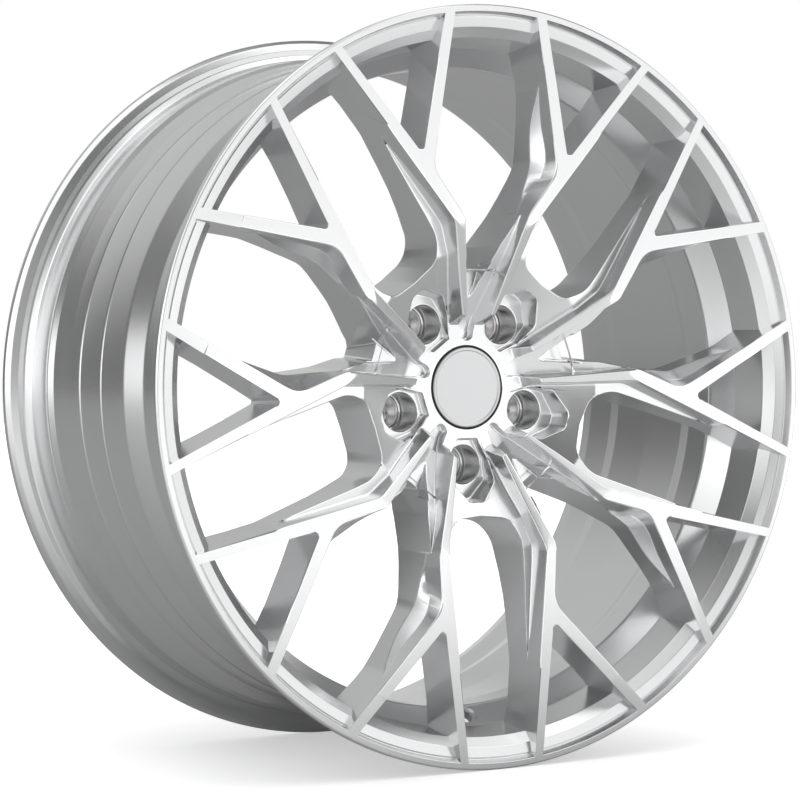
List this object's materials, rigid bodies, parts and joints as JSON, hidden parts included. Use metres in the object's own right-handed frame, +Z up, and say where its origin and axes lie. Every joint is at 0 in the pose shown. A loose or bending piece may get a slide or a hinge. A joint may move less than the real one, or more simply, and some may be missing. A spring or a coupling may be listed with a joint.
{
  "type": "forged racing wheel rim",
  "caption": "Forged alloy wheel with paired forked spokes, a deep stepped rim barrel, a recessed star hub with conical bolt seats and a snap-in centre cap.",
  "frame": {"origin": "centre of the rim on the wheel axis, midway between the front and rear edges of the rim", "axes": "+Y along the wheel axis towards the car, so the street face looks along -Y; +Z up; the valve hole is straight down"},
  "size_m": [0.543, 0.255, 0.543],
  "materials": {
    "forged_silver": "fine satin silver paint over machined forged aluminium",
    "machined_steel": "bare turned steel",
    "cap_silver": "satin silver cap disc",
    "cap_black": "black moulded plastic",
    "spring_steel": "drawn spring wire"
  },
  "bodies": {
    "wheel": {"rim_barrel": "forged_silver", "hub_centre": "forged_silver", "spoke_01": "forged_silver", "spoke_02": "forged_silver", "spoke_03": "forged_silver", "spoke_04": "forged_silver", "spoke_05": "forged_silver", "spoke_06": "forged_silver", "spoke_07": "forged_silver", "spoke_08": "forged_silver", "spoke_09": "forged_silver", "spoke_10": "forged_silver", "lug_seat_1": "machined_steel", "lug_seat_2": "machined_steel", "lug_seat_3": "machined_steel", "lug_seat_4": "machined_steel", "lug_seat_5": "machined_steel"},
    "centre_cap": {"cap_disc": "cap_silver", "cap_housing": "cap_black", "cap_spring_ring": "spring_steel"}
  },
  "joints": [
    {"name": "cap_pull", "type": "slide", "parent": "wheel", "child": "centre_cap", "axis": [0, -1, 0], "range_m": [0, 0.03]}
  ]
}
